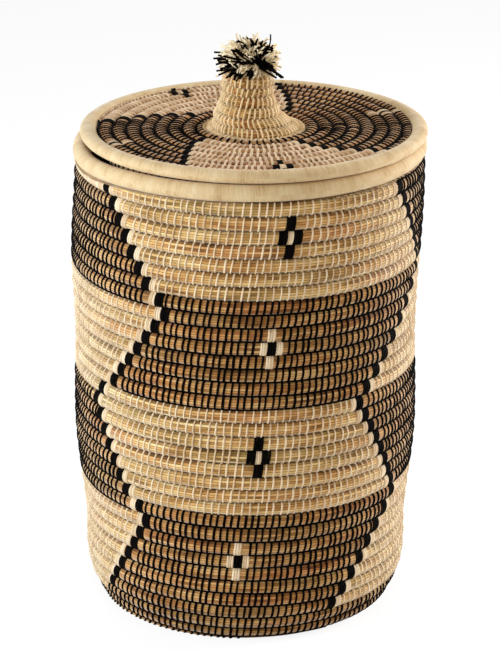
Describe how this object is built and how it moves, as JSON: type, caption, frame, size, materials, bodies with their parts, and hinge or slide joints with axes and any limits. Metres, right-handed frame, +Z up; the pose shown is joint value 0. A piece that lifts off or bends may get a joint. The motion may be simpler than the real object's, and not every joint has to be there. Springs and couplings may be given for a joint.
{
  "type": "laundry basket",
  "caption": "Tall round coiled-grass laundry basket with zigzag and cross pattern, wrapped rim, lift-off lid, coiled knob and yarn pom-pom.",
  "frame": {"origin": "on the floor, under the middle of the basket's outline", "axes": "+Z up along the basket, the front of the picture towards -Y, +X to the right seen from the front"},
  "size_m": [0.4042, 0.4, 0.6652],
  "materials": {
    "grass_coil": "grass bundle sewn with cream and black split palm",
    "palm_wrapping": "close wrapping of cream split palm, satin",
    "dark_grass_coil": "grass bundle sewn with black palm",
    "cream_and_black_yarn": "cut wool yarn, matte",
    "black_yarn": "wool yarn, matte"
  },
  "bodies": {
    "basket": {"base_coil": "grass_coil", "wall_coil": "grass_coil", "rim_coil": "palm_wrapping"},
    "lid": {"lid_coil": "grass_coil", "lid_edge_coil": "palm_wrapping", "lid_collar_coil": "dark_grass_coil", "knob_coil": "grass_coil", "pom_pom": "cream_and_black_yarn", "pom_pom_tie": "black_yarn"}
  },
  "joints": [
    {"name": "lid_lift", "type": "slide", "parent": "basket", "child": "lid", "axis": [0, 0, 1], "range_m": [0, 0.3]}
  ]
}
